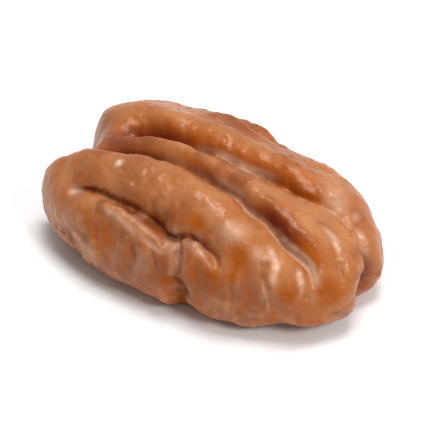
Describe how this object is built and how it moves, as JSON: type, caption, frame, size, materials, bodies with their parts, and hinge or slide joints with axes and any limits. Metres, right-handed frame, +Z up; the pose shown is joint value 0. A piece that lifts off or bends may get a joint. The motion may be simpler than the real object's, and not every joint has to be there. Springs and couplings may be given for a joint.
{
  "type": "caramel-glazed pecan half",
  "caption": "Pecan half in a glossy caramel glaze, lying on its flat side: three thick ropes along its back with deep furrows between them, and wrinkled flanks.",
  "frame": {"origin": "on the surface that the nut lies on, under the middle of its length and width", "axes": "+X along the nut towards the end where the front and middle ropes run together, +Y towards the back rope, +Z up out of the ridged back"},
  "size_m": [0.032, 0.0202, 0.0118],
  "materials": {
    "caramel_glaze": "glossy hard caramel over a pecan kernel, amber in the furrows"
  },
  "bodies": {
    "root": {"pecan_half": "caramel_glaze"}
  },
  "joints": []
}
